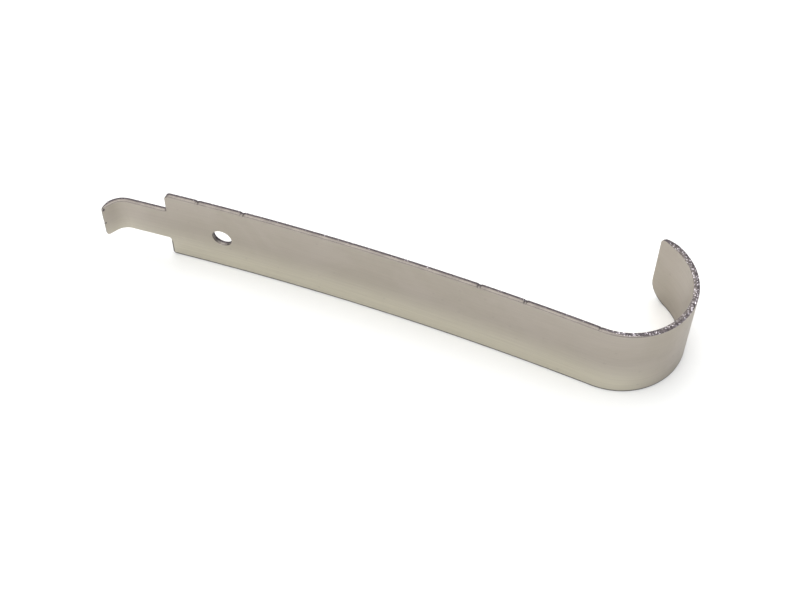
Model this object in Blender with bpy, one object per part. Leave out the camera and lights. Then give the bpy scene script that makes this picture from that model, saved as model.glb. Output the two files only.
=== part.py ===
"""Hive tool: one strip of stainless steel, cut to shape, then bent into a hook and a curl.

The strip stands on its long edge on the floor, z = 0. +X runs along it from the hooked tongue to
the curl, and the curl turns towards +Y. The middle of the whole tool's box is at x = y = 0.
"""

import math

import bmesh
import bpy
from mathutils import Vector

MM = 0.001

# The blank, as cut from sheet
STRIP_WIDTH = 30 * MM
THICKNESS = 2 * MM
TONGUE_WIDTH = 14 * MM
UPPER_SHOULDER_RADIUS = 2 * MM
LOWER_SHOULDER_RADIUS = 1.2 * MM
ROOT_RADIUS = 0.8 * MM
TIP_RADIUS = 1.5 * MM
FLAP_UPPER_RADIUS = 2.5 * MM
FLAP_LOWER_RADIUS = 8 * MM
HOLE_DIAMETER = 7 * MM
HOLE_FROM_SHOULDER = 20 * MM

# The bends, all on the middle of the thickness. Lengths are along the strip.
LIP_LENGTH = 4 * MM
HOOK_RADIUS = 6.8 * MM
HOOK_TURN = math.radians(55)
TONGUE_LENGTH = 14.5 * MM
HEEL_LENGTH = 3 * MM
BODY_LENGTH = 152 * MM
BODY_BOW_RADIUS = 1050 * MM
CURL_RADIUS = 22.6 * MM
CURL_TURN = math.radians(154.5)
FLAP_LENGTH = 5.5 * MM

# The ground bevels at the two working edges
TIP_BEVEL = 3.5 * MM
FLAP_BEVEL = 5 * MM
EDGE_LAND = 0.7 * MM

# How finely each bend is faceted
HOOK_STEPS = 12
BODY_STEPS = 16
CURL_STEPS = 40
CORNER_STEPS = 8
HOLE_SIDES = 48

# How far a cutter reaches past what it cuts
CLEAR = 6 * MM

# Points of an outline closer than this become one
WELD_WITHIN = 0.001 * MM

STEEL_COLOUR = (0.60, 0.57, 0.53, 1.0)
STEEL_ROUGHNESS = 0.36

BODY_TURN = BODY_LENGTH / BODY_BOW_RADIUS
START_HEADING = BODY_TURN / 2 + HOOK_TURN

# Each run of the strip, from the tip to the flap: its length, how far it turns, and its steps
RUNS = {
    "tip bevel": (TIP_BEVEL, 0.0, 1),
    "lip": (LIP_LENGTH - TIP_BEVEL, 0.0, 1),
    "hook": (HOOK_RADIUS * HOOK_TURN, -HOOK_TURN, HOOK_STEPS),
    "tongue and heel": (TONGUE_LENGTH + HEEL_LENGTH, 0.0, 1),
    "body": (BODY_LENGTH, -BODY_TURN, BODY_STEPS),
    "curl": (CURL_RADIUS * CURL_TURN, CURL_TURN, CURL_STEPS),
    "flap": (FLAP_LENGTH - FLAP_BEVEL, 0.0, 1),
    "flap bevel": (FLAP_BEVEL, 0.0, 1),
}


def clear_scene():
    for obj in list(bpy.data.objects):
        bpy.data.objects.remove(obj, do_unlink=True)


def collection(name):
    made = bpy.data.collections.new(name)
    bpy.context.scene.collection.children.link(made)
    return made


def travel(point, heading, length, turn):
    """Where a run of this length ends: a straight line, or an arc that turns by this angle."""
    chord = length if turn == 0 else 2 * length / turn * math.sin(turn / 2)
    along = heading + turn / 2
    return point + chord * Vector((math.cos(along), math.sin(along))), heading + turn


def middle_line():
    """The strip's middle line from above, as (point, heading), and where each run starts on it."""
    point, heading = Vector((0.0, 0.0)), START_HEADING
    stations = [(point, heading)]
    starts = {}
    for name, (length, turn, steps) in RUNS.items():
        starts[name] = len(stations) - 1
        for _ in range(steps):
            point, heading = travel(point, heading, length / steps, turn / steps)
            stations.append((point, heading))
    return stations, starts


def left_of(heading):
    return Vector((-math.sin(heading), math.cos(heading)))


def plan_outline(stations):
    """The strip's outline from above. Its two ends narrow to the land of the ground edge."""
    half = THICKNESS / 2
    back = [half] * len(stations)
    front = [-half] * len(stations)
    back[0] = EDGE_LAND - half
    front[-1] = half - EDGE_LAND
    there = [point + left_of(heading) * away for (point, heading), away in zip(stations, front)]
    and_back = [point + left_of(heading) * away for (point, heading), away in zip(stations, back)]
    return there + and_back[::-1]


def centre_of_box(points):
    xs = [point.x for point in points]
    ys = [point.y for point in points]
    return Vector(((min(xs) + max(xs)) / 2, (min(ys) + max(ys)) / 2))


def flat_solid(name, outline, half_depth):
    """A closed solid from a flat outline: a filled 2D curve, extruded both ways and made a mesh."""
    curve = bpy.data.curves.new(name, "CURVE")
    curve.dimensions = "2D"
    curve.fill_mode = "BOTH"
    curve.extrude = half_depth
    spline = curve.splines.new("POLY")
    spline.points.add(len(outline) - 1)
    for point, place in zip(spline.points, outline):
        point.co = (place[0], place[1], 0.0, 1.0)
    spline.use_cyclic_u = True
    drawn = bpy.data.objects.new(name + "_outline", curve)
    mesh = bpy.data.meshes.new_from_object(drawn)
    bpy.data.objects.remove(drawn)
    bpy.data.curves.remove(curve)
    shape = bmesh.new()
    shape.from_mesh(mesh)
    bmesh.ops.remove_doubles(shape, verts=shape.verts, dist=WELD_WITHIN)
    bmesh.ops.recalc_face_normals(shape, faces=shape.faces)
    shape.to_mesh(mesh)
    shape.free()
    mesh.name = name
    return bpy.data.objects.new(name, mesh)


def arc(centre, radius, start, turn):
    """Points of an arc in a flat outline, both ends included."""
    angles = [start + turn * i / CORNER_STEPS for i in range(CORNER_STEPS + 1)]
    return [
        (centre[0] + radius * math.cos(angle), centre[1] + radius * math.sin(angle))
        for angle in angles
    ]


def stand_up(cutter, point, heading, bottom_up, kept_in):
    """Turns a flat cutter to stand across the strip at this point, and for a lower edge turns it over."""
    cutter.location = (point.x, point.y, STRIP_WIDTH / 2)
    cutter.rotation_euler = (math.pi / 2, 0.0, heading)
    if bottom_up:
        for vertex in cutter.data.vertices:
            vertex.co.y = -vertex.co.y
        cutter.data.flip_normals()
    return put_away(cutter, kept_in)


def put_away(cutter, kept_in):
    """Keeps a cutter out of the render, in the collection of cutters."""
    cutter.hide_render = True
    cutter.display_type = "WIRE"
    for owner in cutter.users_collection:
        owner.objects.unlink(cutter)
    kept_in.objects.link(cutter)
    return cutter


def relief_cutter(name, point, heading, shoulder_radius, bottom_up, kept_in):
    """Takes away the steel beside the tongue, with a fillet at its root and a round on the shoulder."""
    tongue, edge = TONGUE_WIDTH / 2, STRIP_WIDTH / 2
    far_left = -(LIP_LENGTH + HOOK_RADIUS * HOOK_TURN + TONGUE_LENGTH + CLEAR)
    root = arc((-ROOT_RADIUS, tongue + ROOT_RADIUS), ROOT_RADIUS, -math.pi / 2, math.pi / 2)
    shoulder_centre = (shoulder_radius, edge - shoulder_radius)
    shoulder = arc(shoulder_centre, shoulder_radius, math.pi, -math.pi / 2)
    above = [(shoulder_radius, edge + CLEAR), (far_left, edge + CLEAR), (far_left, tongue)]
    cutter = flat_solid(name, root + shoulder + above, STRIP_WIDTH)
    return stand_up(cutter, point, heading, bottom_up, kept_in)


def corner_cutter(name, point, heading, half_width, radius, bottom_up, kept_in):
    """Rounds one corner of the strip's end. The heading points off the end."""
    rounding = arc((-radius, half_width - radius), radius, 0.0, math.pi / 2)
    above = half_width + CLEAR
    outside = [(-radius, above), (CLEAR, above), (CLEAR, half_width - radius)]
    cutter = flat_solid(name, rounding + outside, CLEAR)
    return stand_up(cutter, point, heading, bottom_up, kept_in)


def hole_cutter(name, point, heading, kept_in):
    bpy.ops.mesh.primitive_cylinder_add(
        vertices=HOLE_SIDES,
        radius=HOLE_DIAMETER / 2,
        depth=2 * CLEAR,
        location=(point.x, point.y, STRIP_WIDTH / 2),
        rotation=(math.pi / 2, 0.0, heading),
    )
    cutter = bpy.context.object
    cutter.name = name
    return put_away(cutter, kept_in)


def steel():
    material = bpy.data.materials.new("stainless_steel")
    material.use_nodes = True
    shader = material.node_tree.nodes["Principled BSDF"]
    shader.inputs["Base Color"].default_value = STEEL_COLOUR
    shader.inputs["Metallic"].default_value = 1.0
    shader.inputs["Roughness"].default_value = STEEL_ROUGHNESS
    return material


def cutters(stations, starts, kept_in):
    """Everything that is taken away from the bent strip."""
    body, heel_heading = stations[starts["body"]]
    shoulder, _ = travel(body, heel_heading, -HEEL_LENGTH, 0.0)
    hole_along_body = HOLE_FROM_SHOULDER - HEEL_LENGTH
    hole_turn = -BODY_TURN * hole_along_body / BODY_LENGTH
    hole, hole_heading = travel(body, heel_heading, hole_along_body, hole_turn)
    tip, tip_heading = stations[0]
    flap, flap_heading = stations[-1]
    tongue, edge = TONGUE_WIDTH / 2, STRIP_WIDTH / 2
    off_tip = tip_heading + math.pi
    upper, lower = UPPER_SHOULDER_RADIUS, LOWER_SHOULDER_RADIUS
    return [
        relief_cutter("relief_above", shoulder, heel_heading, upper, False, kept_in),
        relief_cutter("relief_below", shoulder, heel_heading, lower, True, kept_in),
        corner_cutter("tip_above", tip, off_tip, tongue, TIP_RADIUS, False, kept_in),
        corner_cutter("tip_below", tip, off_tip, tongue, TIP_RADIUS, True, kept_in),
        corner_cutter("flap_above", flap, flap_heading, edge, FLAP_UPPER_RADIUS, False, kept_in),
        corner_cutter("flap_below", flap, flap_heading, edge, FLAP_LOWER_RADIUS, True, kept_in),
        hole_cutter("hang_hole", hole, hole_heading, kept_in),
    ]


def build():
    clear_scene()
    tool = collection("hive_tool")
    helpers = collection("cutters")
    helpers.hide_render = True
    stations, starts = middle_line()
    centre = centre_of_box(plan_outline(stations))
    stations = [(point - centre, heading) for point, heading in stations]
    strip = flat_solid("tool_strip", plan_outline(stations), STRIP_WIDTH / 2)
    strip.location.z = STRIP_WIDTH / 2
    strip.data.materials.append(steel())
    tool.objects.link(strip)
    for cutter in cutters(stations, starts, helpers):
        cut = strip.modifiers.new(cutter.name, "BOOLEAN")
        cut.operation = "DIFFERENCE"
        cut.solver = "EXACT"
        cut.object = cutter


build()
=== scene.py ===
"""Hive tool: one strip of stainless sheet, sheared to shape, ground at both ends and bent cold.

The strip is made as a flat blank with real cut edges, and a Geometry Nodes tree roughens those
edges and bends the blank along the tool's centre line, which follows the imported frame.
"""

import math

import bmesh
import bpy
import numpy as np
from bpy.props import FloatProperty, FloatVectorProperty, IntProperty, PointerProperty
from mathutils import Matrix, Quaternion, Vector
from mathutils.geometry import delaunay_2d_cdt


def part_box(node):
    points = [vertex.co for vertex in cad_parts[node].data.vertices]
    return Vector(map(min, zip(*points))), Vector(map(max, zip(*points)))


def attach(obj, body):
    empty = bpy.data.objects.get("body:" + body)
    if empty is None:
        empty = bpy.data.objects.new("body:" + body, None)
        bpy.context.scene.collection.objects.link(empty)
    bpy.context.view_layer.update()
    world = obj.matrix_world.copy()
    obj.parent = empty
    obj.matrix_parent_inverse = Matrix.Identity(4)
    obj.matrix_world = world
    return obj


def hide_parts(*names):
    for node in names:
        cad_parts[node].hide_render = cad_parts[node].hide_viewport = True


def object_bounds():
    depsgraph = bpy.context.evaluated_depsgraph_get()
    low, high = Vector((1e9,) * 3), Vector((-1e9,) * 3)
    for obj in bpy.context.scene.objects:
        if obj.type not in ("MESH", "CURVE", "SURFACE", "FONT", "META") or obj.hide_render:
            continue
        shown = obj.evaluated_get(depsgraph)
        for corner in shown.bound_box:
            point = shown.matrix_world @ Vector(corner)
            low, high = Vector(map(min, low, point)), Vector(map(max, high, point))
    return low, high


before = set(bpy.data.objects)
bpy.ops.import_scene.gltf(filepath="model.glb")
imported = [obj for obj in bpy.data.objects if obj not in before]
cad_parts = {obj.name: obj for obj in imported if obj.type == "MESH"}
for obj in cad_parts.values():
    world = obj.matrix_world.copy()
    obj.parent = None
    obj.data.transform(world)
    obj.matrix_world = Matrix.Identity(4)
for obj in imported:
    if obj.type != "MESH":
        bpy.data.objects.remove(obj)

bl_info = {
    "name": "Bent Strip Hive Tool",
    "version": (1, 0, 0),
    "blender": (4, 5, 0),
    "location": "View3D > Sidebar > Hive Tool",
    "description": "Makes a hive tool from one bent steel strip, with its cut edges and its stage",
    "category": "Add Mesh",
}

MM = 0.001
CAD_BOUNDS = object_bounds()
CAD_NODE = "tool_strip"
STRIP_LOW, STRIP_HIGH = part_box(CAD_NODE)

# The surfaces of the strip, as numbers in its "zone" attribute
MILL, BURNISHED, TORN, GROUND = range(4)

# The cut edge. The shear rolls its front corner, rubs the next part smooth and tears the rest.
# Depths through the sheet are shares of half its thickness, from -1 at the front to 1 at the back.
ROLL_INSET = 0.35 * MM
ROLL_DEPTH = 0.40
ROLL_STEPS = 6
ROLLED_FACE_STEPS = 2
SMOOTH_TO = 0.10
TORN_TO = 0.78
TORN_STEPS = 5
TORN_START = 0.5  # how much of the tearing the first torn row takes
BACK_INSET = 0.28 * MM
BACK_STEPS = 4
FACE_INSETS = (0.25 * MM, 0.5 * MM)
HOLE_ROLL = 0.35  # the punched hole's insets, as a share of the outline's


def edge_profile():
    """The cut edge from the front face to the back: how far in from the outline, how far through
    the sheet, the surface behind it, and how much of the tearing it takes."""
    rows = [(ROLL_INSET + inset, -1.0, MILL, 0.0) for inset in FACE_INSETS[::-1]]
    for i in range(ROLL_STEPS + 1):
        turn = math.pi / 2 * i / ROLL_STEPS
        surface = MILL if i < ROLLED_FACE_STEPS else BURNISHED
        inset = ROLL_INSET * (1 - math.sin(turn))
        rows.append((inset, ROLL_DEPTH * (1 - math.cos(turn)) - 1, surface, 0.0))
    rows.append((0.0, (ROLL_DEPTH - 1 + SMOOTH_TO) / 2, BURNISHED, 0.0))
    for i in range(TORN_STEPS):
        torn = TORN_START if i == 0 else 1.0
        rows.append((0.0, SMOOTH_TO + (TORN_TO - SMOOTH_TO) * i / TORN_STEPS, TORN, torn))
    for i in range(BACK_STEPS + 1):
        turn = math.pi / 2 * i / BACK_STEPS
        surface = TORN if i < BACK_STEPS else MILL
        inset = BACK_INSET * (1 - math.cos(turn))
        rows.append((inset, TORN_TO + (1 - TORN_TO) * math.sin(turn), surface, 1 - i / BACK_STEPS))
    rows.extend((BACK_INSET + inset, 1.0, MILL, 0.0) for inset in FACE_INSETS)
    return rows


EDGE_PROFILE = edge_profile()

# The tears fade in and out over so many times their pitch, and reach this much further forward,
# as a share of half the thickness, where the bend has fully opened them
TEARS_FADE_IN = 17.0
TEARS_FADE_OUT = 3.0
TEARS_SPREAD = 1.25
CUT_INSET = 0.1 * MM  # points closer to the outline than this are on the cut edge itself

# That forward part starts softly across the sheet and along the bend, is a little less rough, and
# lets a little of the smooth steel through
SPLIT_BLUR = 0.2
SPLIT_STARTS = (0.0, 0.1)
SPLIT_ROUGHNESS = 0.9
SPLIT_COVER = 0.92

# A tear deepens between these distances from its middle, as shares of the pitch. At the back of
# the sheet it has only this share of its depth.
TEAR_SIDES = (0.42, 0.10)
TEARS_AT_BACK = 0.35
TEARS_SCATTER = 0.9
FRACTURE_LUMPS = (0.3, 0.75)  # the noise's values where the fracture is shallowest and deepest

# Small nicks that the shear left in the upper edge: distance from the tip, length and depth
NICKS = (
    (37.0 * MM, 1.5 * MM, 0.35 * MM),
    (53.5 * MM, 1.8 * MM, 0.45 * MM),
    (138.0 * MM, 1.6 * MM, 0.40 * MM),
    (154.0 * MM, 1.5 * MM, 0.40 * MM),
    (179.5 * MM, 1.2 * MM, 0.25 * MM),
)
NICK_BLUNTNESS = 0.6

# Small chips in the tip's ground edge: height, length and depth
TIP_CHIPS = ((14.6 * MM, 0.9 * MM, 0.22 * MM), (20.6 * MM, 1.0 * MM, 0.25 * MM))

# Dark marks beside them on the tip's face: distance from the tip, height and radius
TIP_MARKS = ((0.35 * MM, 14.5 * MM, 0.55 * MM), (0.55 * MM, 21.1 * MM, 0.85 * MM))
MARK_CORE = 0.4  # how much of a mark's radius is fully dark

# Painted reflection of the lit floor: the bar's face is made lighter and yellower low down. Where
# it fades out up the face, and along the strip before the curl
PAINTED_REFLECTION_HEIGHTS = (17.0 * MM, 3.0 * MM)
PAINTED_REFLECTION_FADE = 186.0 * MM
PAINTED_REFLECTION_END = 210.0 * MM

# Painted contact shadow: a dark line on the face along the edge that the bar stands on. Where it
# fades on the way to the edge, how dark it gets, and the heights over which it fades out
CONTACT_SHADE_EDGE = (0.08, 0.45)
CONTACT_SHADE_SHARE = 0.88
CONTACT_SHADE_HEIGHTS = (7.5 * MM, 6.0 * MM)

# The streaks' shade of the stain, and how much glossier clean faces are than the Roughness
STREAK_SHADE = 0.72
CLEAN_GLOSS = 0.04

# Scratches are turned by these angles, in radians, and are this many times longer than wide
SCRATCH_TURNS = (0.35, -0.5, 1.3)
SCRATCH_STRETCH = 28.0
SCRATCH_SPACING = 0.5 * MM

# The grain of torn metal, and its share of bright facets before the bend and where it is open
TORN_GRAIN = 0.42 * MM
FACETS_OPENED = (0.10, 0.36)

# How far the darkest grains go to black, how softly the facets start among the grains, how few of
# them shine, and how far the faintest one goes to the dark colour
DARKEST_GRAINS = 0.55
FACET_BLUR = 0.15
FACET_RARITY = 2.5
FAINTEST_FACET = 0.62

# How close the points lie: along the centre line, round the outline, and over the faces
LINE_STEP = 0.25 * MM
OUTLINE_STEP = 0.25 * MM
COLUMN_STEP = 1.0 * MM
COLUMN_GAP = COLUMN_STEP / 3  # the least from a column to a bevel line
COLUMN_TURN = math.radians(1.5)
ROW_STEP = 2.0 * MM
NEAR_ROWS = (0.5, 0.72)  # the two rows nearest an edge, as shares of the row step
CORNER_STEPS = 4  # the fewest round a corner
GRID_MARGIN = 0.3 * MM
CDT_MERGE = 1e-7

# How squarely the outline has to face up, or off the tip, to be nicked there, and how squarely it
# has to face off an end to be ground there
STRAIGHT = 0.99
ACROSS_END = 0.7

# The soft light. Its place is from the middle of the tool.
KEY_LIGHT_PLACE = (-0.4, 0.35, 1.4)
KEY_LIGHT_SIZE = 2.6
KEY_LIGHT_POWER = 36.0
KEY_LIGHT_TINT = (1.0, 0.98, 0.93)

# Behind the tool the room is dim near the floor. The first pair is how high, as the sines of the
# angles where the dimness starts to lift and is gone; the second, how far round to the front.
DIM_BAND = (0.15, 0.60)
DIM_BEHIND = (0.15, -0.25)

FLOOR_ROUGHNESS = 0.85
CLIP_START = 10 * MM

STEELS = ("Mill Steel", "Burnished Steel", "Torn Steel", "Ground Steel")


def length(name, text, default):
    """A size in metres that the sidebar shows in the scene's units."""
    return FloatProperty(
        name=name, description=text, default=default, min=0.0, subtype="DISTANCE", unit="LENGTH"
    )


def offset(name, text, default):
    """A place in metres from the middle of the tool."""
    return FloatProperty(
        name=name, description=text, default=default, subtype="DISTANCE", unit="LENGTH"
    )


def angle(name, text, degrees):
    return FloatProperty(
        name=name, description=text, default=math.radians(degrees), subtype="ANGLE", unit="ROTATION"
    )


def colour(name, text, default):
    return FloatVectorProperty(
        name=name, description=text, default=default, min=0.0, max=1.0, size=3, subtype="COLOR"
    )


def share(name, text, default):
    return FloatProperty(
        name=name, description=text, default=default, min=0.0, max=1.0, subtype="FACTOR"
    )


def placed(name, data):
    """A new object in the scene."""
    thing = bpy.data.objects.new(name, data)
    bpy.context.collection.objects.link(thing)
    return thing


class StripSizes(bpy.types.PropertyGroup):
    """The blank and its bends. Lengths run along the middle of the sheet."""

    width: length("Strip Width", "Width of the strip", STRIP_HIGH.z - STRIP_LOW.z)
    thickness: length("Thickness", "Thickness of the sheet", 2 * MM)
    tongue_width: length("Tongue Width", "Width of the narrow tongue", 14 * MM)
    tip_radius: length("Tip Radius", "Round on the tongue's two corners", 1.5 * MM)
    root_radius: length("Root Radius", "Fillet where the tongue leaves the bar", 0.8 * MM)
    upper_shoulder_radius: length("Upper Shoulder Radius", "Round on the upper shoulder", 2 * MM)
    lower_shoulder_radius: length("Lower Shoulder Radius", "Round on the lower shoulder", 1.2 * MM)
    flap_upper_radius: length("Flap Upper Radius", "Round on the flap's upper corner", 2.5 * MM)
    flap_lower_radius: length("Flap Lower Radius", "Round on the flap's lower corner", 8 * MM)
    hole_diameter: length("Hole Diameter", "Diameter of the hang hole", 7 * MM)
    hole_distance: length("Hole Distance", "From the shoulders to the hole's centre", 20 * MM)
    lip_length: length("Lip Length", "Straight end of the hook", 4 * MM)
    hook_radius: length("Hook Radius", "Bend radius of the hook", 6.8 * MM)
    hook_turn: angle("Hook Turn", "How far the hook is bent", 55)
    tongue_length: length("Tongue Length", "Straight part, from hook to shoulders", 14.5 * MM)
    heel_length: length("Heel Length", "Straight start of the bar", 3 * MM)
    bar_length: length("Bar Length", "Bowed bar, from the heel to the curl", 152 * MM)
    bow_radius: length("Bow Radius", "Radius of the bar's gentle bow", 1050 * MM)
    curl_radius: length("Curl Radius", "Bend radius of the curl", 22.6 * MM)
    curl_turn: angle("Curl Turn", "How far the curl is bent", 154.5)
    flap_length: length("Flap Length", "Straight end of the curl", 5.5 * MM)
    tip_bevel: length("Tip Bevel", "Ground bevel on the back of the lip", 3.5 * MM)
    flap_bevel: length("Flap Bevel", "Ground bevel on the outside of the flap", 5 * MM)
    edge_land: length("Edge Land", "Thickness left at the ground edges", 0.7 * MM)


class CutEdge(bpy.types.PropertyGroup):
    """How rough the sheared edges are."""

    fracture_depth: length("Fracture Depth", "Roughness of the torn half of the edge", 0.10 * MM)
    fracture_grain: length("Fracture Grain", "Size of the grain in the torn half", 0.55 * MM)
    tear_depth: length("Tear Depth", "Depth of the tears that bending opened", 0.30 * MM)
    tear_pitch: length("Tear Pitch", "Average distance between tears", 1.9 * MM)
    seed: IntProperty(name="Seed", description="Changes where the tears fall", default=7, min=0)


class SteelFinish(bpy.types.PropertyGroup):
    """Colours and gloss of the steel."""

    mill: colour("Mill Colour", "Rolled faces of the sheet", (0.595, 0.537, 0.472))
    stain: colour("Stain Colour", "Where handling has dulled the faces", (0.56, 0.507, 0.435))
    # Painted reflection: a lighter, yellower colour laid on the bar's lower face, standing in for
    # the lit floor that it mirrors
    painted_floor_reflection: colour("Painted Reflection Colour", "Faint tint along the bar's lower edge", (0.90, 0.85, 0.70))
    burnished: colour("Burnished Colour", "Smooth half of the cut edge", (0.20, 0.18, 0.163))
    torn: colour("Torn Colour", "Rough half of the cut edge", (0.14, 0.12, 0.13))
    crystal: colour("Crystal Colour", "Bright facets in the rough half", (0.95, 0.89, 0.97))
    ground: colour("Ground Colour", "The two ground bevels", (0.62, 0.58, 0.53))
    roughness: share("Roughness", "Roughness of the rolled faces", 0.36)


class StageSizes(bpy.types.PropertyGroup):
    """Floor, light and camera."""

    floor_size: length("Floor Size", "Side of the square floor", 6.0)
    floor: colour("Floor Colour", "Colour of the floor as seen", (0.86, 0.86, 0.86))
    bounce: colour("Bounce Colour", "Colour of the floor to all other light", (0.52, 0.52, 0.52))
    surround: colour("Surround Colour", "Colour of the room's light", (0.95, 0.975, 1.0))
    dim: colour("Dim Colour", "Colour of the room behind, near the floor", (0.12, 0.11, 0.12))
    backdrop: colour("Backdrop Colour", "Colour behind the tool as seen", (1.0, 1.0, 1.0))
    surround_strength: FloatProperty(
        name="Surround Strength", description="Strength of the room's light", default=0.95, min=0.0
    )
    azimuth: angle("Azimuth", "Turn of the camera round the tool, from its front", 21.2)
    elevation: angle("Elevation", "Height of the camera above the horizon", 52.1)
    tilt: angle("Tilt", "Turn of the camera round its own axis", 0.53)
    distance: length("Distance", "From the camera to the point that it looks at", 473.5 * MM)
    aim_along: offset("Aim Along", "Where the camera looks, along the strip", 7.77 * MM)
    aim_across: offset("Aim Across", "Where the camera looks, across the strip", -20.06 * MM)
    lens: FloatProperty(name="Lens", description="Focal length in mm", default=63.8, min=1.0)


# ---------------------------------------------------------------- centre line


def bow_turn(sizes):
    return sizes.bar_length / sizes.bow_radius


def runs_of(sizes):
    """The strip's runs from the tip to the flap: length and turn, anticlockwise from above."""
    return (
        (sizes.lip_length, 0.0),
        (sizes.hook_radius * sizes.hook_turn, -sizes.hook_turn),
        (sizes.tongue_length + sizes.heel_length, 0.0),
        (sizes.bar_length, -bow_turn(sizes)),
        (sizes.curl_radius * sizes.curl_turn, sizes.curl_turn),
        (sizes.flap_length, 0.0),
    )


def travel(point, heading, run_length, turn):
    """Where a run ends: a straight line, or an arc that turns by this angle."""
    chord = run_length if turn == 0 else 2 * run_length / turn * math.sin(turn / 2)
    along = heading + turn / 2
    return point + chord * Vector((math.cos(along), math.sin(along))), heading + turn


def centre_line(sizes):
    """Points along the middle of the bent strip, in the frame's plan."""
    point, heading = Vector((0.0, 0.0)), bow_turn(sizes) / 2 + sizes.hook_turn
    along = 0.0
    stations = [(along, point, heading)]
    for run_length, turn in runs_of(sizes):
        steps = math.ceil(run_length / LINE_STEP)
        for _ in range(steps):
            point, heading = travel(point, heading, run_length / steps, turn / steps)
            along += run_length / steps
            stations.append((along, point, heading))
    sides = [side for station in stations for side in both_sides(sizes, *station)]
    xs, ys = [side.x for side in sides], [side.y for side in sides]
    middle = (STRIP_LOW + STRIP_HIGH) / 2
    shift = Vector((middle.x - (min(xs) + max(xs)) / 2, middle.y - (min(ys) + max(ys)) / 2))
    return [point + shift for _, point, _ in stations]


def both_sides(sizes, along, point, heading):
    """The front and the back of the strip beside a point of its centre line."""
    left = Vector((-math.sin(heading), math.cos(heading)))
    return [point + left * depth_at(sizes, along, through) for through in (-1, 1)]


def centre_line_object(sizes):
    """The centre line as a poly curve, for the bend to follow."""
    points = centre_line(sizes)
    curve = bpy.data.curves.new("centre_line", "CURVE")
    curve.dimensions = "3D"
    spline = curve.splines.new("POLY")
    spline.points.add(len(points) - 1)
    for point, place in zip(spline.points, points):
        point.co = (place.x, place.y, STRIP_LOW.z, 1.0)
    return placed("centre_line", curve)


# ---------------------------------------------------------------- flat blank


def whole_length(sizes):
    return sum(run_length for run_length, _ in runs_of(sizes))


def shoulder_distance(sizes):
    """From the tip to the shoulders, along the strip."""
    return sizes.lip_length + sizes.hook_radius * sizes.hook_turn + sizes.tongue_length


def blank_corners(sizes):
    """The flat blank's corners, anticlockwise: distance from the tip, height and radius."""
    root, end = shoulder_distance(sizes), whole_length(sizes)
    low = (sizes.width - sizes.tongue_width) / 2
    high = sizes.width - low
    return (
        (0.0, low, sizes.tip_radius),
        (root, low, sizes.root_radius),
        (root, 0.0, sizes.lower_shoulder_radius),
        (end, 0.0, sizes.flap_lower_radius),
        (end, sizes.width, sizes.flap_upper_radius),
        (root, sizes.width, sizes.upper_shoulder_radius),
        (root, high, sizes.root_radius),
        (0.0, high, sizes.tip_radius),
    )


def rounded(before, corner, after, radius, step):
    """The arc that rounds one corner of an outline, as points in order."""
    into, out = (corner - before).normalized(), (after - corner).normalized()
    turn = -into.angle_signed(out)
    reach = radius * abs(math.tan(turn / 2))
    start = corner - into * reach
    side = 1 if turn > 0 else -1
    centre = start + side * radius * Vector((-into.y, into.x))
    steps = max(CORNER_STEPS, math.ceil(abs(turn) * radius / step))
    spoke = start - centre
    points = []
    for i in range(steps + 1):
        a = turn * i / steps
        x = spoke.x * math.cos(a) - spoke.y * math.sin(a)
        y = spoke.x * math.sin(a) + spoke.y * math.cos(a)
        points.append(centre + Vector((x, y)))
    return points


def evened(points, step):
    """A closed outline with points no further apart than the step, its corners kept."""
    even = []
    for start, end in zip(points, points[1:] + points[:1]):
        pieces = max(1, math.ceil((end - start).length / step))
        even.extend(start.lerp(end, i / pieces) for i in range(pieces))
    return even


def nick_depth(nicks, along):
    """How deep an edge is nicked at this distance along it."""
    depth = 0.0
    for place, nick_length, deepest in nicks:
        away = abs(along - place) / (nick_length / 2)
        if away < 1:
            hollow = 0.5 + 0.5 * math.cos(math.pi * away)
            depth = max(depth, deepest * hollow**NICK_BLUNTNESS)
    return depth


def blank_outline(sizes, step):
    """The blank's outline, anticlockwise."""
    corners = blank_corners(sizes)
    places = [Vector((along, height)) for along, height, _ in corners]
    drawn = []
    for i, (_, _, radius) in enumerate(corners):
        drawn.extend(rounded(places[i - 1], places[i], places[(i + 1) % len(places)], radius, step))
    return evened(drawn, step)


def hole_outline(sizes, step):
    """The hang hole, clockwise, so that the steel is on its left like the outline's."""
    centre = Vector((shoulder_distance(sizes) + sizes.hole_distance, sizes.width / 2))
    radius = sizes.hole_diameter / 2
    count = math.ceil(2 * math.pi * radius / step)
    turns = [-2 * math.pi * i / count for i in range(count)]
    return [centre + radius * Vector((math.cos(a), math.sin(a))) for a in turns]


def outward_at(outline):
    """For each point of an outline, the direction that leads off the steel."""
    directions = []
    for before, after in zip(outline[-1:] + outline[:-1], outline[1:] + outline[:1]):
        along = (after - before).normalized()
        directions.append(Vector((along.y, -along.x)))
    return directions


def local_thickness(sizes, along):
    """Thickness of the blank here, and which face the grinder took it from: -1 front, 1 back."""
    end = whole_length(sizes)
    if along < sizes.tip_bevel:
        part = max(0.0, along / sizes.tip_bevel)
        return sizes.edge_land + (sizes.thickness - sizes.edge_land) * part, 1
    if along > end - sizes.flap_bevel:
        part = max(0.0, (end - along) / sizes.flap_bevel)
        return sizes.edge_land + (sizes.thickness - sizes.edge_land) * part, -1
    return sizes.thickness, 1


def depth_at(sizes, along, through):
    """How far from the middle of the sheet a point lies, for through from -1 front to 1 back."""
    here, ground_side = local_thickness(sizes, along)
    half = sizes.thickness / 2
    if ground_side > 0:
        return -half + (through + 1) / 2 * here
    return half - (1 - through) / 2 * here


def bevel_lines_of(sizes):
    """Where the two ground bevels start, along the strip."""
    return sizes.tip_bevel, whole_length(sizes) - sizes.flap_bevel


def on_bevel(sizes, along, through):
    """True on the two ground bevels: the back of the tip and the front of the flap."""
    tip_line, flap_line = bevel_lines_of(sizes)
    return along < tip_line if through > 0 else along > flap_line


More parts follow.
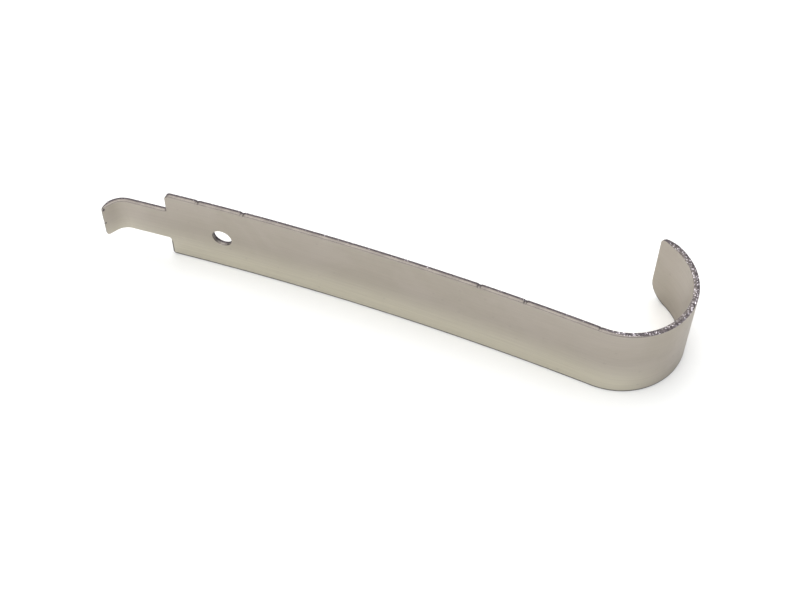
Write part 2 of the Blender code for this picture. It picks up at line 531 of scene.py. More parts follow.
def at_ground_end(sizes, point, direction):
    """True where the outline runs across one of the strip's two ends."""
    flap_start = whole_length(sizes) - sizes.flap_lower_radius
    tip_end = direction.x < -ACROSS_END and point.x < sizes.tip_radius
    flap_end = direction.x > ACROSS_END and point.x > flap_start
    return tip_end or flap_end


def face_columns(sizes):
    """Distances along the strip where the faces get a column of points: closer in the bends."""
    bevel_lines = bevel_lines_of(sizes)
    columns = []
    start = 0.0
    for run_length, turn in runs_of(sizes):
        count = max(math.ceil(run_length / COLUMN_STEP), math.ceil(abs(turn) / COLUMN_TURN))
        columns.extend(start + run_length * i / count for i in range(count))
        start += run_length
    clear = [c for c in columns if all(abs(c - line) > COLUMN_GAP for line in bevel_lines)]
    return sorted(clear + list(bevel_lines))


def row_heights(low, high):
    """Heights between two edges where the faces get a row of points: closer near the edges."""
    rows = 2 * math.ceil((high - low) / 2 / ROW_STEP)
    first, last = low + ROW_STEP, high - ROW_STEP
    near = [low + part * ROW_STEP for part in NEAR_ROWS]
    middle = [first + (last - first) * i / rows for i in range(rows + 1)]
    return near + middle + [low + high - place for place in near]


def inside(xs, ys, outline, margin):
    """Which points lie inside an outline, at least this far from its points."""
    x0, y0 = outline[:, 0], outline[:, 1]
    x1, y1 = np.roll(x0, -1), np.roll(y0, -1)
    flat = np.where(y1 == y0, 1.0, y1 - y0)
    found = []
    for x, y in zip(xs, ys):
        crosses = (y0 > y) != (y1 > y)
        to_right = (crosses & (x0 + (y - y0) * (x1 - x0) / flat > x)).sum()
        found.append(to_right % 2 == 1 and np.hypot(x0 - x, y0 - y).min() > margin)
    return found


class Blank:
    """The flat blank in a bmesh: x along the strip, y through the sheet, z its height."""

    def __init__(self, sizes):
        self.sizes = sizes
        self.shape = bmesh.new()
        layers = self.shape.verts.layers
        self.rough = layers.float.new("rough")
        self.edge = layers.float.new("edge")
        self.cut = layers.float.new("cut")
        self.outward = layers.float_vector.new("outward")
        self.zone = self.shape.faces.layers.int.new("zone")

    def vertex(self, place, through):
        return self.shape.verts.new((place.x, depth_at(self.sizes, place.x, through), place.y))

    def face(self, corners, zone):
        made = self.shape.faces.new(corners)
        made[self.zone] = zone
        made.smooth = True

    def ring(self, outline, directions, inset, through, rough, roll):
        """One loop of points round an outline, this far in from it."""
        places, vertices = [], []
        for point, direction in zip(outline, directions):
            scale = local_thickness(self.sizes, point.x)[0] / self.sizes.thickness
            place = point - direction * inset * scale * roll
            share_left = 1 - inset / EDGE_PROFILE[0][0]
            if direction.y > STRAIGHT:
                place.y -= nick_depth(NICKS, point.x) * share_left
            elif direction.x < -STRAIGHT:
                place.x += nick_depth(TIP_CHIPS, point.y) * share_left
            vertex = self.vertex(place, through)
            vertex[self.rough] = 0.0 if at_ground_end(self.sizes, point, direction) else rough
            vertex[self.edge] = share_left
            vertex[self.cut] = float(inset < CUT_INSET)
            vertex[self.outward] = (direction.x, 0.0, direction.y)
            places.append(place)
            vertices.append(vertex)
        return places, vertices

    def edge_wall(self, outline, roll=1.0):
        """The cut edge round one outline, with its insets scaled by this much. Returns the places
        and vertices where the two faces start."""
        directions = outward_at(outline)
        rings = [
            self.ring(outline, directions, inset, through, rough, roll)
            for inset, through, _, rough in EDGE_PROFILE
        ]
        for (_, near), (_, far), (_, _, zone, _) in zip(rings, rings[1:], EDGE_PROFILE):
            for i, corner in enumerate(near):
                after = (i + 1) % len(near)
                ground = at_ground_end(self.sizes, outline[i], directions[i])
                here = GROUND if ground and zone != MILL else zone
                self.face((corner, far[i], far[after], near[after]), here)
        return rings[0], rings[-1]

    def grid(self, rings, through):
        """Points inside the rings of one face, and the chains of them that lie on a bevel line."""
        sizes = self.sizes
        outer = np.array([tuple(place) for place in rings[0][0]])
        hole = np.array([tuple(place) for place in rings[1][0]])
        centre = hole.mean(axis=0)
        reach = np.hypot(*(hole[0] - centre)) + GRID_MARGIN
        root = shoulder_distance(sizes)
        low = (sizes.width - sizes.tongue_width) / 2
        places, vertices, chains = [], [], []
        for along in face_columns(sizes):
            bottom, top = (0.0, sizes.width) if along > root else (low, sizes.width - low)
            heights = row_heights(bottom, top)
            kept = inside([along] * len(heights), heights, outer, GRID_MARGIN)
            chain = []
            for height, keep in zip(heights, kept):
                if keep and math.hypot(along - centre[0], height - centre[1]) > reach:
                    place = Vector((along, height))
                    places.append(place)
                    vertices.append(self.vertex(place, through))
                    chain.append(place)
            if along in bevel_lines_of(sizes):
                chains.append(chain)
        return places, vertices, chains

    def flat_face(self, rings, through):
        """The front or the back face, from its rings to a grid of points inside them."""
        grid_places, grid_vertices, chains = self.grid(rings, through)
        places = [place for ring_places, _ in rings for place in ring_places] + grid_places
        vertices = [vertex for _, ring in rings for vertex in ring] + grid_vertices
        edges = []
        first = 0
        for ring_places, _ in rings:
            count = len(ring_places)
            edges.extend((first + i, first + (i + 1) % count) for i in range(count))
            first += count
        outer_count = len(rings[0][0])
        for chain in chains:
            ends = [
                min(range(outer_count), key=lambda i: (places[i] - place).length)
                for place in (chain[0], chain[-1])
            ]
            inner = [places.index(place) for place in chain]
            route = [ends[0]] + inner + [ends[1]]
            edges.extend(zip(route, route[1:]))
        _, _, triangles, origins, _, _ = delaunay_2d_cdt(places, edges, [], 1, CDT_MERGE)
        hole_centre = sum(rings[1][0], Vector((0.0, 0.0))) / len(rings[1][0])
        hole_reach = (rings[1][0][0] - hole_centre).length
        for triangle in triangles:
            ids = [origins[i][0] for i in triangle]
            centre = sum((places[i] for i in ids), Vector((0.0, 0.0))) / 3
            if (centre - hole_centre).length < hole_reach:
                continue
            corners = [vertices[i] for i in ids]
            zone = GROUND if on_bevel(self.sizes, centre.x, through) else MILL
            self.face(corners if through < 0 else corners[::-1], zone)

    def crease(self):
        """Makes the line where a ground bevel meets the rolled face sharp."""
        for edge in self.shape.edges:
            zones = {face[self.zone] for face in edge.link_faces}
            edge.smooth = not zones == {MILL, GROUND}

    def mesh(self, name):
        mesh = bpy.data.meshes.new(name)
        self.shape.to_mesh(mesh)
        self.shape.free()
        return mesh


def blank_mesh(sizes):
    """The whole flat blank, closed."""
    blank = Blank(sizes)
    walls = [
        blank.edge_wall(blank_outline(sizes, OUTLINE_STEP)),
        blank.edge_wall(hole_outline(sizes, OUTLINE_STEP), roll=HOLE_ROLL),
    ]
    blank.flat_face([front for front, _ in walls], -1)
    blank.flat_face([back for _, back in walls], 1)
    blank.crease()
    return blank.mesh("flat_blank")


# ---------------------------------------------------------------- node trees


class Tree:
    """Adds nodes to a node tree and links them."""

    def __init__(self, tree):
        self.tree = tree

    def add(self, kind, inputs=None, **settings):
        node = self.tree.nodes.new(kind)
        for name, value in settings.items():
            setattr(node, name, value)
        for name, value in (inputs or {}).items():
            self.put(node.inputs[name], value)
        return node

    def put(self, socket, value):
        """Links an output to this input, or sets the input's own value."""
        if isinstance(value, bpy.types.NodeSocket):
            self.tree.links.new(value, socket)
        else:
            socket.default_value = value

    def fill(self, node, values, sockets=(0, 1)):
        """Puts values in the inputs with these numbers."""
        for number, value in zip(sockets, values):
            self.put(node.inputs[number], value)
        return node.outputs

    def math(self, operation, *values):
        return self.fill(self.add("ShaderNodeMath", operation=operation), values)[0]

    def times(self, first, *others):
        for other in others:
            first = self.math("MULTIPLY", first, other)
        return first

    def vector(self, operation, *values):
        return self.fill(self.add("ShaderNodeVectorMath", operation=operation), values)[0]

    def scaled(self, vector, factor):
        inputs = {"Vector": vector, "Scale": factor}
        return self.add("ShaderNodeVectorMath", inputs, operation="SCALE").outputs[0]

    def counted(self, vector, size):
        """A vector in steps of this size."""
        return self.scaled(vector, self.math("DIVIDE", 1.0, size))

    def xyz(self, vector):
        return self.add("ShaderNodeSeparateXYZ", {"Vector": vector}).outputs

    def ramp(self, value, low, high, to_low=0.0, to_high=1.0):
        """A value from low to high, eased to another range and held outside it."""
        names = ("Value", "From Min", "From Max", "To Min", "To Max")
        inputs = dict(zip(names, (value, low, high, to_low, to_high)))
        return self.add("ShaderNodeMapRange", inputs, interpolation_type="SMOOTHSTEP").outputs[0]

    def between(self, *values):
        """A value between two others: the factor, the first and the second."""
        return self.fill(self.add("ShaderNodeMix", data_type="FLOAT"), values, (0, 2, 3))[0]

    def mix(self, *values):
        """A colour between two others: the factor, the first and the second."""
        return self.fill(self.add("ShaderNodeMix", data_type="RGBA"), values, (0, 6, 7))[2]

    def noise(self, vector, detail, roughness, dimensions="3D", **inputs):
        """Noise whose lumps are about one unit of its vector."""
        usual = {"Vector": vector, "Scale": 1.0, "Detail": detail, "Roughness": roughness}
        settings = {"noise_dimensions": dimensions}
        return self.add("ShaderNodeTexNoise", {**usual, **inputs}, **settings).outputs[0]

    def cells(self, vector):
        """Cells one unit across: how far off its cell's middle a place is, and three random
        numbers that belong to the cell."""
        cell = self.add("ShaderNodeTexVoronoi", {"Vector": vector, "Scale": 1.0}).outputs
        chances = self.add("ShaderNodeSeparateColor", {"Color": cell["Color"]}).outputs
        return cell["Distance"], chances


def floats(*names):
    """Sockets that each take a number."""
    return dict.fromkeys(names, "Float")


ROUGH_EDGE_INPUTS = {
    **floats("Fracture Depth", "Fracture Grain", "Tear Depth", "Tear Pitch"),
    **floats("Tears From", "Tears To", "Thickness", "Seed"),
}


def new_group(name, kind, inputs, outputs):
    """An empty node group with these sockets, given as names and kinds. Returns its builder, its
    inputs and its output node's sockets."""
    group = bpy.data.node_groups.new(name, kind)
    for in_out, sockets in (("INPUT", inputs), ("OUTPUT", outputs)):
        for socket_name, socket_kind in sockets.items():
            group.interface.new_socket(
                name=socket_name, in_out=in_out, socket_type="NodeSocket" + socket_kind
            )
    build = Tree(group)
    return build, build.add("NodeGroupInput").outputs, build.add("NodeGroupOutput").inputs


def named(build, name, data_type="FLOAT"):
    """The value of an attribute, in a geometry tree."""
    inputs = {"Name": name}
    return build.add("GeometryNodeInputNamedAttribute", inputs, data_type=data_type).outputs[0]


def stored(build, geometry, name, value, data_type="FLOAT"):
    """The geometry with a value kept at each point under this name."""
    return build.add(
        "GeometryNodeStoreNamedAttribute",
        {"Geometry": geometry, "Name": name, "Value": value},
        data_type=data_type,
        domain="POINT",
    ).outputs[0]


def rough_edge_tree():
    """Roughens the torn half of a cut edge, and opens tears in it where the strip is bent. It
    keeps each point's place on the flat blank, how far the bend has opened the edge there, and
    whether it is torn forward of the usual line."""
    build, given, result = new_group(
        "Rough Cut Edge",
        "GeometryNodeTree",
        {"Geometry": "Geometry", **ROUGH_EDGE_INPUTS},
        {"Geometry": "Geometry"},
    )
    place = build.add("GeometryNodeInputPosition").outputs[0]
    along, through, _ = build.xyz(place)
    shape = stored(build, given["Geometry"], "flat", place, "FLOAT_VECTOR")
    fade_in = build.times(given["Tear Pitch"], TEARS_FADE_IN)
    fade_out = build.times(given["Tear Pitch"], TEARS_FADE_OUT)
    bent = build.times(
        build.ramp(along, given["Tears From"], build.math("ADD", given["Tears From"], fade_in)),
        build.ramp(along, given["Tears To"], build.math("SUBTRACT", given["Tears To"], fade_out)),
    )
    shape = stored(build, shape, "bent", bent)
    depth = build.math("DIVIDE", through, build.math("DIVIDE", given["Thickness"], 2.0))
    torn_from = build.math("SUBTRACT", SMOOTH_TO, build.times(bent, TEARS_SPREAD))
    split = build.times(
        build.ramp(depth, build.math("SUBTRACT", torn_from, SPLIT_BLUR), torn_from),
        build.ramp(bent, *SPLIT_STARTS),
    )
    shape = stored(build, shape, "split", split)
    grains = build.counted(place, given["Fracture Grain"])
    grain = build.noise(grains, detail=3.0, roughness=0.65, dimensions="4D", W=given["Seed"])
    fracture = build.times(build.ramp(grain, *FRACTURE_LUMPS), given["Fracture Depth"])
    tear = build.add(
        "ShaderNodeTexVoronoi",
        {
            "W": build.math("DIVIDE", build.math("ADD", along, given["Seed"]), given["Tear Pitch"]),
            "Scale": 1.0,
            "Randomness": TEARS_SCATTER,
        },
        voronoi_dimensions="1D",
    ).outputs["Distance"]
    stretched = build.ramp(depth, 1.0, -1.0, TEARS_AT_BACK, 1.0)
    opened = build.times(build.ramp(tear, *TEAR_SIDES), given["Tear Depth"], stretched, bent)
    spread = build.times(named(build, "cut"), split, SPLIT_ROUGHNESS)
    reach = build.math("MAXIMUM", named(build, "rough"), spread)
    amount = build.times(build.math("ADD", fracture, opened), reach, -1.0)
    push = build.scaled(named(build, "outward", "FLOAT_VECTOR"), amount)
    moved = build.add("GeometryNodeSetPosition", {"Geometry": shape, "Offset": push})
    build.put(result["Geometry"], moved.outputs[0])
    return build.tree


def bent_strip_tree():
    """Roughens a flat blank's cut edge, bends it along a centre line and gives each surface its
    steel."""
    build, given, result = new_group(
        "Bent Strip",
        "GeometryNodeTree",
        {
            "Geometry": "Geometry",
            **ROUGH_EDGE_INPUTS,
            "Centre Line": "Object",
            **{steel: "Material" for steel in STEELS},
        },
        {"Geometry": "Geometry"},
    )
    roughened = build.add("GeometryNodeGroup", node_tree=rough_edge_tree())
    for name in ("Geometry", *ROUGH_EDGE_INPUTS):
        build.put(roughened.inputs[name], given[name])
    along, through, height = build.xyz(build.add("GeometryNodeInputPosition").outputs[0])
    line = build.add("GeometryNodeObjectInfo", {"Object": given["Centre Line"]})
    sample = build.add(
        "GeometryNodeSampleCurve",
        {"Curves": line.outputs["Geometry"], "Length": along},
        mode="LENGTH",
        use_all_curves=False,
        data_type="FLOAT",
    ).outputs
    up = (0.0, 0.0, 1.0)
    side = build.vector("NORMALIZE", build.vector("CROSS_PRODUCT", up, sample["Tangent"]))
    beside = build.vector("ADD", sample["Position"], build.scaled(side, through))
    lifted = build.add("ShaderNodeCombineXYZ", {"Z": height}).outputs[0]
    bent = build.vector("ADD", beside, lifted)
    moved = build.add(
        "GeometryNodeSetPosition", {"Geometry": roughened.outputs[0], "Position": bent}
    )
    shape = build.add("GeometryNodeRealizeInstances", {"Geometry": moved.outputs[0]}).outputs[0]
    zone = named(build, "zone", "INT")
    for number, steel in enumerate(STEELS):
        compare = build.add("FunctionNodeCompare", data_type="INT", operation="EQUAL")
        int_inputs = [socket for socket in compare.inputs if socket.type == "INT"]
        build.put(int_inputs[0], zone)
        build.put(int_inputs[1], number)
        shape = build.add(
            "GeometryNodeSetMaterial",
            {"Geometry": shape, "Selection": compare.outputs[0], "Material": given[steel]},
        ).outputs[0]
    build.put(result["Geometry"], shape)
    return build.tree


def add_tree(piece, tree, values):
    """Adds a geometry tree to a piece, its inputs set by the sockets' identifiers."""
    modifier = piece.modifiers.new(tree.name, "NODES")
    modifier.node_group = tree
    for item in tree.interface.items_tree:
        if item.in_out == "INPUT" and item.name in values:
            modifier[item.identifier] = values[item.name]


def make_plain(piece):
    """Turns a piece's modifiers into its mesh."""
    graph = bpy.context.evaluated_depsgraph_get()
    mesh = bpy.data.meshes.new_from_object(
        piece.evaluated_get(graph), preserve_all_data_layers=True, depsgraph=graph
    )
    piece.modifiers.clear()
    piece.data = mesh
    for name in ("rough", "cut", "outward", "zone"):
        mesh.attributes.remove(mesh.attributes[name])


# ---------------------------------------------------------------- steel


def grain_group():
    """Streaks in the metal, as long and as fine as its Scale says."""
    build, given, result = new_group(
        "Steel Grain", "ShaderNodeTree", {"Place": "Vector", "Scale": "Vector"}, floats("Grain")
    )
    place = build.vector("MULTIPLY", given["Place"], given["Scale"])
    streaks = build.noise(place, detail=4.0, roughness=0.6)
    build.put(result["Grain"], build.ramp(streaks, 0.25, 0.75))
    return build.tree


def handling_group():
    """Marks of use: soft dull patches, fine scratches and tiny specks."""
    build, given, result = new_group(
        "Handling Marks",
        "ShaderNodeTree",
        {"Place": "Vector", **floats("Patch Size", "Scratch Spacing", "Speck Size")},
        floats("Dull", "Scratches", "Specks"),
    )
    place = given["Place"]
    patches = build.counted(place, given["Patch Size"])
    patches = build.noise(patches, detail=5.0, roughness=0.6, Distortion=0.6)
    build.put(result["Dull"], build.ramp(patches, 0.38, 0.64))
    fine = build.math("DIVIDE", 1.0, given["Scratch Spacing"])
    long = build.math("DIVIDE", fine, SCRATCH_STRETCH)
    stretch = build.add("ShaderNodeCombineXYZ", {"X": long, "Y": fine, "Z": fine}).outputs[0]
    scratches = 0.0
    for turn in SCRATCH_TURNS:
        inputs = {"Vector": place, "Axis": (0.0, 1.0, 0.0), "Angle": turn}
        turned = build.add("ShaderNodeVectorRotate", inputs).outputs[0]
        lines = build.noise(build.vector("MULTIPLY", turned, stretch), detail=1.0, roughness=0.5)
        scratches = build.math("MAXIMUM", scratches, build.ramp(lines, 0.68, 0.74))
    build.put(result["Scratches"], scratches)
    away, chances = build.cells(build.counted(place, given["Speck Size"]))
    few = build.ramp(chances[0], 0.80, 0.86)
    build.put(result["Specks"], build.times(build.ramp(away, 0.22, 0.10), few))
    return build.tree


def wear_group():
    """Where the steel is rubbed bright along an edge, broken up by noise."""
    build, given, result = new_group(
        "Edge Wear",
        "ShaderNodeTree",
        {"Place": "Vector", **floats("Edge", "Break Size")},
        floats("Wear"),
    )
    place = build.counted(given["Place"], given["Break Size"])
    broken = build.noise(place, detail=4.0, roughness=0.65)
    total = build.math("ADD", given["Edge"], build.math("SUBTRACT", broken, 0.5))
    build.put(result["Wear"], build.ramp(total, 0.35, 0.85))
    return build.tree


def torn_group():
    """Torn metal: dark grains with bright facets among them."""
    build, given, result = new_group(
        "Torn Metal",
        "ShaderNodeTree",
        {"Place": "Vector", "Dark": "Color", "Bright": "Color", **floats("Grain Size", "Facets")},
        {"Colour": "Color", **floats("Roughness", "Height")},
    )
    dark, bright = given["Dark"], given["Bright"]
    place = build.counted(given["Place"], given["Grain Size"])
    _, chances = build.cells(place)
    lumps = build.noise(place, detail=3.0, roughness=0.65, Scale=0.9)
    darkest = build.mix(DARKEST_GRAINS, dark, opaque((0.0, 0.0, 0.0)))
    dull = build.mix(build.ramp(lumps, 0.3, 0.7), darkest, dark)
    least = build.math("SUBTRACT", 1.0, given["Facets"])
    facet = build.ramp(chances[0], least, build.math("ADD", least, FACET_BLUR))
    lit = build.times(facet, build.ramp(lumps, 0.40, 0.62))
    shine = build.math("POWER", chances[2], FACET_RARITY)
    shining = build.mix(shine, build.mix(FAINTEST_FACET, bright, dark), bright)
    build.put(result["Colour"], build.mix(lit, dull, shining))
    build.put(result["Roughness"], build.ramp(lit, 0.0, 1.0, 0.55, 0.28))
    build.put(result["Height"], build.math("ADD", lumps, build.times(chances[1], 0.5)))
    return build.tree


def opaque(colour_value):
    return (*colour_value, 1.0)


class Steel:
    """One steel material: a Principled shader fed by the shared groups."""

    def __init__(self, name, groups):
        self.material = bpy.data.materials.new(name)
        self.material.use_nodes = True
        self.build = Tree(self.material.node_tree)
        self.groups = groups
        self.place = self.attribute("flat")["Vector"]
        self.edge = self.attribute("edge")["Fac"]

    def attribute(self, name):
        return self.build.add("ShaderNodeAttribute", attribute_name=name).outputs

    def group(self, name, **values):
        node = self.build.add("ShaderNodeGroup", node_tree=self.groups[name])
        for socket, value in {"Place": self.place, **values}.items():
            self.build.put(node.inputs[socket.replace("_", " ")], value)
        return node.outputs

    def grain(self, *scale):
        return self.group("Steel Grain", Scale=scale)["Grain"]

    def marks(self, patch, speck=MM):
        sizes = {"Patch_Size": patch, "Speck_Size": speck, "Scratch_Spacing": SCRATCH_SPACING}
        return self.group("Handling Marks", **sizes)

    def wear(self, size):
        return self.group("Edge Wear", Edge=self.edge, Break_Size=size)["Wear"]

    def torn(self, finish, facets):
        colours = {"Dark": opaque(finish.torn), "Bright": opaque(finish.crystal)}
        return self.group("Torn Metal", **colours, Grain_Size=TORN_GRAIN, Facets=facets)

    def over(self, base, mask, top, strength):
        """A colour with another laid over it, this strongly where the mask is full."""
        return self.build.mix(self.build.times(mask, strength), base, opaque(top))

    def summed(self, base, *parts):
        """A value with masks added to it, each times its own amount."""
        for mask, amount in parts:
            base = self.build.math("ADD", base, self.build.times(mask, amount))
        return base

    def finish(self, colour_value, roughness, height, depth):
        """Feeds the shader. Depth is how deep the relief in the height is, in metres."""
        relief = {"Height": height, "Distance": depth, "Strength": 1.0}
        shader = self.material.node_tree.nodes["Principled BSDF"]
        shader.inputs["Metallic"].default_value = 1.0
        self.build.put(shader.inputs["Base Color"], colour_value)
        self.build.put(shader.inputs["Roughness"], roughness)
        self.build.put(shader.inputs["Normal"], self.build.add("ShaderNodeBump", relief).outputs[0])
        return self.material


def mill_steel(finish, groups):
    """The rolled faces of the sheet: satin, with faint streaks along the strip, a painted floor
    reflection that lightens the bar's lower face, and a painted contact shadow along the edge that
    it stands on.
    """
    steel = Steel("mill_steel", groups)
    build = steel.build
    grain = steel.grain(60.0, 2500.0, 2500.0)
    marks = steel.marks(patch=30 * MM, speck=3 * MM)
    wear = steel.wear(4 * MM)
    along, _, up = build.xyz(steel.place)
    patchy = build.mix(marks["Dull"], opaque(finish.mill), opaque(finish.stain))
    # Painted reflection: the lower face of the bar is lightened towards a yellowish colour, as if
    # mirroring the lit floor in front
    low = build.times(build.ramp(up, *PAINTED_REFLECTION_HEIGHTS), build.ramp(along, PAINTED_REFLECTION_END, PAINTED_REFLECTION_FADE))
    reflection_painted = steel.over(patchy, low, finish.painted_floor_reflection, strength=0.8)
    streak = [channel * STREAK_SHADE for channel in finish.stain]
    streaked = steel.over(reflection_painted, grain, streak, strength=0.14)
    marked = steel.over(streaked, marks["Specks"], finish.torn, strength=0.08)
    for from_tip, mark_height, radius in TIP_MARKS:
        flattened = build.vector("MULTIPLY", steel.place, (1.0, 0.0, 1.0))
        apart = {"Vector": build.vector("SUBTRACT", flattened, (from_tip, 0.0, mark_height))}
        away = build.add("ShaderNodeVectorMath", apart, operation="LENGTH").outputs["Value"]
        inside_mark = build.ramp(away, radius, radius * MARK_CORE)
        marked = build.mix(inside_mark, marked, opaque(finish.torn))
    # Painted contact shadow: the face darkens towards its cut edge low down, where the bar meets
    # the floor
    contact_shade = build.times(
        build.ramp(steel.edge, *CONTACT_SHADE_EDGE, 0.0, CONTACT_SHADE_SHARE), build.ramp(up, *CONTACT_SHADE_HEIGHTS)
    )
    contact_shaded = build.mix(contact_shade, marked, opaque(finish.torn))
    worn = steel.over(contact_shaded, wear, finish.burnished, strength=0.12)
    clean = finish.roughness - CLEAN_GLOSS
    rough = steel.summed(clean, (marks["Dull"], 0.07), (grain, 0.05), (wear, -0.06))
    height = steel.summed(build.times(grain, 0.5), (marks["Scratches"], -0.6))
    return steel.finish(worn, rough, height, depth=0.006 * MM)


def burnished_steel(finish, groups):
    """The smooth half of the cut edge, rubbed by the shear, and torn where the strip is bent."""
    steel = Steel("burnished_steel", groups)
    build = steel.build
    drag = steel.grain(3500.0, 300.0, 3500.0)
    marks = steel.marks(patch=6 * MM)
    torn = steel.torn(finish, facets=0.40)
    rubbed = steel.over(opaque(finish.burnished), drag, finish.torn, strength=0.4)
    dulled = steel.over(rubbed, marks["Dull"], finish.stain, strength=0.12)
    rough = steel.summed(0.34, (drag, 0.16))
    split = build.times(steel.attribute("split")["Fac"], SPLIT_COVER)
    return steel.finish(
        build.mix(split, dulled, torn["Colour"]),
        build.between(split, rough, torn["Roughness"]),
        build.between(split, build.times(drag, 0.3), torn["Height"]),
        depth=0.08 * MM,
    )


def torn_steel(finish, groups):
    """The rough half of the cut edge, where the sheet tore: dark and grainy, with bright facets
    that the bend opens."""
    steel = Steel("torn_steel", groups)
    build = steel.build
    bent = steel.attribute("bent")["Fac"]
    torn = steel.torn(finish, facets=build.ramp(bent, 0.0, 0.25, *FACETS_OPENED))
    opened = steel.over(torn["Colour"], build.ramp(bent, 0.6, 1.0), finish.stain, strength=0.14)
    return steel.finish(opened, torn["Roughness"], torn["Height"], depth=0.12 * MM)


def ground_steel(finish, groups):
    """The bevels: fresh bright metal with grinding lines across the strip."""
    steel = Steel("ground_steel", groups)
    lines = steel.grain(4200.0, 4200.0, 110.0)
    marks = steel.marks(patch=10 * MM)
    lined = steel.over(opaque(finish.ground), lines, finish.stain, strength=0.5)
    dulled = steel.over(lined, marks["Dull"], finish.stain, strength=0.4)
    worn = steel.over(dulled, steel.wear(3 * MM), finish.burnished, strength=0.5)
    rough = steel.summed(0.24, (lines, 0.18))
    height = steel.summed(lines, (marks["Scratches"], -0.4))
    return steel.finish(worn, rough, height, depth=0.02 * MM)


# ---------------------------------------------------------------- operators


class HIVETOOL_OT_strip(bpy.types.Operator):
    """Make the bent steel strip in place of the plain CAD solid"""

    bl_idname = "hive_tool.strip"
    bl_label = "Make Strip"

    def execute(self, context):
        sizes = context.scene.hive_strip
        edge = context.scene.hive_edge
        finish = context.scene.hive_finish
        piece = placed("finished_strip", blank_mesh(sizes))
        trees = (grain_group(), handling_group(), wear_group(), torn_group())
        groups = {tree.name: tree for tree in trees}
        makers = (mill_steel, burnished_steel, torn_steel, ground_steel)
        line = centre_line_object(sizes)
        curl_length = sizes.curl_radius * sizes.curl_turn + sizes.flap_length
        values = {
            "Fracture Depth": edge.fracture_depth,
            "Fracture Grain": edge.fracture_grain,
            "Tear Depth": edge.tear_depth,
            "Tear Pitch": edge.tear_pitch,
            "Tears From": whole_length(sizes) - curl_length - sizes.heel_length,
            "Tears To": whole_length(sizes),
            "Thickness": sizes.thickness,
            "Seed": float(edge.seed),
            "Centre Line": line,
            **{steel: make(finish, groups) for steel, make in zip(STEELS, makers)},
        }
        add_tree(piece, bent_strip_tree(), values)
        make_plain(piece)
        bpy.data.objects.remove(line)
        if len(piece.data.polygons) == 0:
            raise RuntimeError("the strip came out empty")
        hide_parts(CAD_NODE)
        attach(piece, "root")
        return {"FINISHED"}


def add_floor(stage):
    """A plain pale floor under the strip."""
    shape = bmesh.new()
    bmesh.ops.create_grid(shape, x_segments=1, y_segments=1, size=stage.floor_size / 2)
    mesh = bpy.data.meshes.new("floor")
    shape.to_mesh(mesh)
    shape.free()
    mesh.transform(Matrix.Translation((0.0, 0.0, CAD_BOUNDS[0][2])))
    material = bpy.data.materials.new("pale_floor")
    material.use_nodes = True
    shader = material.node_tree.nodes["Principled BSDF"]
    build = Tree(material.node_tree)
    seen = build.add("ShaderNodeLightPath").outputs["Is Camera Ray"]
    colours = build.mix(seen, opaque(stage.bounce), opaque(stage.floor))
    build.put(shader.inputs["Base Color"], colours)
    shader.inputs["Roughness"].default_value = FLOOR_ROUGHNESS
    mesh.materials.append(material)
    floor = placed("floor", mesh)


def add_key_light(aim):
    """A square soft light above and behind the tool."""
    light = bpy.data.lights.new("key_light", "AREA")
    light.shape = "SQUARE"
    light.size = KEY_LIGHT_SIZE
    light.energy = KEY_LIGHT_POWER
    light.color = KEY_LIGHT_TINT
    lamp = placed("key_light", light)
    lamp.location = aim + Vector(KEY_LIGHT_PLACE)
    lamp.rotation_euler = (lamp.location - aim).to_track_quat("Z", "Y").to_euler()


def add_room(stage):
    """The light all round, dim behind the tool near the floor. The camera sees a plain backdrop."""
    world = bpy.data.worlds.new("studio")
    world.use_nodes = True
    background = world.node_tree.nodes["Background"]
    build = Tree(world.node_tree)
    _, behind, height = build.xyz(build.add("ShaderNodeTexCoord").outputs["Generated"])
    seen = build.add("ShaderNodeLightPath").outputs["Is Camera Ray"]
    lifted = build.ramp(height, *DIM_BAND)
    bright = build.math("MAXIMUM", lifted, build.ramp(behind, *DIM_BEHIND))
    room = build.mix(bright, opaque(stage.dim), opaque(stage.surround))
    build.put(background.inputs["Color"], build.mix(seen, room, opaque(stage.backdrop)))
    background.inputs["Strength"].default_value = stage.surround_strength
    bpy.context.scene.world = world


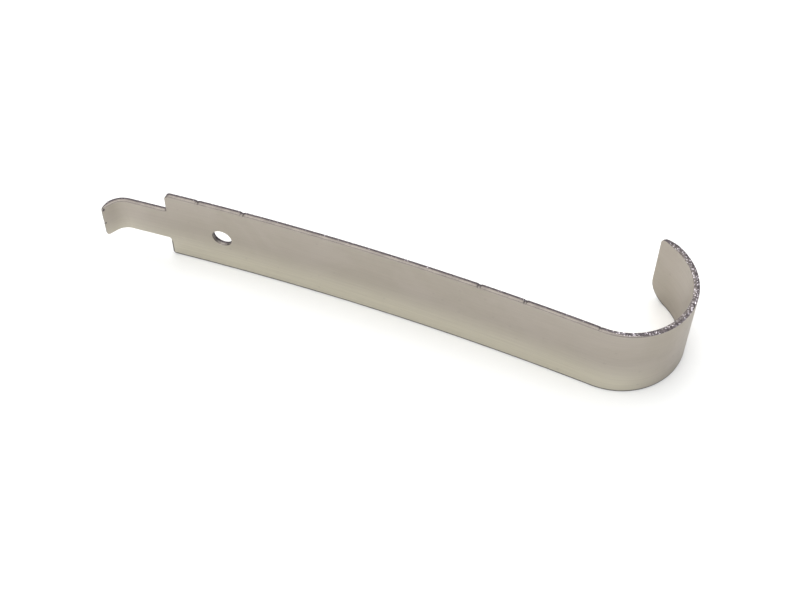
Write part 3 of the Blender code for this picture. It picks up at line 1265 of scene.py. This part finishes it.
def add_camera(stage, middle):
    """A camera in front of the tool that looks down at it."""
    camera = placed("camera", bpy.data.cameras.new("camera"))
    camera.data.lens = stage.lens
    camera.data.clip_start = CLIP_START
    aim = middle + Vector((stage.aim_along, stage.aim_across, 0.0))
    back = Vector((
        math.cos(stage.elevation) * math.sin(stage.azimuth),
        -math.cos(stage.elevation) * math.cos(stage.azimuth),
        math.sin(stage.elevation),
    ))
    camera.location = aim + back * stage.distance
    turned = back.to_track_quat("Z", "Y") @ Quaternion((0.0, 0.0, 1.0), stage.tilt)
    camera.rotation_euler = turned.to_euler()
    bpy.context.scene.camera = camera


class HIVETOOL_OT_stage(bpy.types.Operator):
    """Lay the floor, light it softly and set up the camera"""

    bl_idname = "hive_tool.stage"
    bl_label = "Set Stage"

    def execute(self, context):
        stage = context.scene.hive_stage
        low, high = (Vector(corner) for corner in CAD_BOUNDS)
        middle = (low + high) / 2
        add_floor(stage)
        add_key_light(middle)
        add_room(stage)
        add_camera(stage, middle)
        context.scene.view_settings.view_transform = "Standard"
        return {"FINISHED"}


class HIVETOOL_PT_panel(bpy.types.Panel):
    """Sizes, finish and stage of the hive tool"""

    bl_idname = "HIVETOOL_PT_panel"
    bl_label = "Hive Tool"
    bl_space_type = "VIEW_3D"
    bl_region_type = "UI"
    bl_category = "Hive Tool"

    def draw(self, context):
        layout = self.layout
        layout.use_property_split = True
        parts = (
            ("Strip", ("hive_strip", "hive_edge", "hive_finish"), HIVETOOL_OT_strip),
            ("Stage", ("hive_stage",), HIVETOOL_OT_stage),
        )
        for title, groups, operator in parts:
            box = layout.box()
            box.label(text=title)
            for group in groups:
                values = getattr(context.scene, group)
                for name in values.__annotations__:
                    box.prop(values, name)
            box.operator(operator.bl_idname)


# ---------------------------------------------------------------- add-on

SETTINGS = {
    "hive_strip": StripSizes,
    "hive_edge": CutEdge,
    "hive_finish": SteelFinish,
    "hive_stage": StageSizes,
}
CLASSES = (*SETTINGS.values(), HIVETOOL_OT_strip, HIVETOOL_OT_stage, HIVETOOL_PT_panel)


def register():
    for kind in CLASSES:
        bpy.utils.register_class(kind)
    for name, kind in SETTINGS.items():
        setattr(bpy.types.Scene, name, PointerProperty(type=kind))


def unregister():
    for name in SETTINGS:
        delattr(bpy.types.Scene, name)
    for kind in reversed(CLASSES):
        bpy.utils.unregister_class(kind)


def main():
    register()
    bpy.ops.hive_tool.strip()
    bpy.ops.hive_tool.stage()


if __name__ == "__main__":
    main()
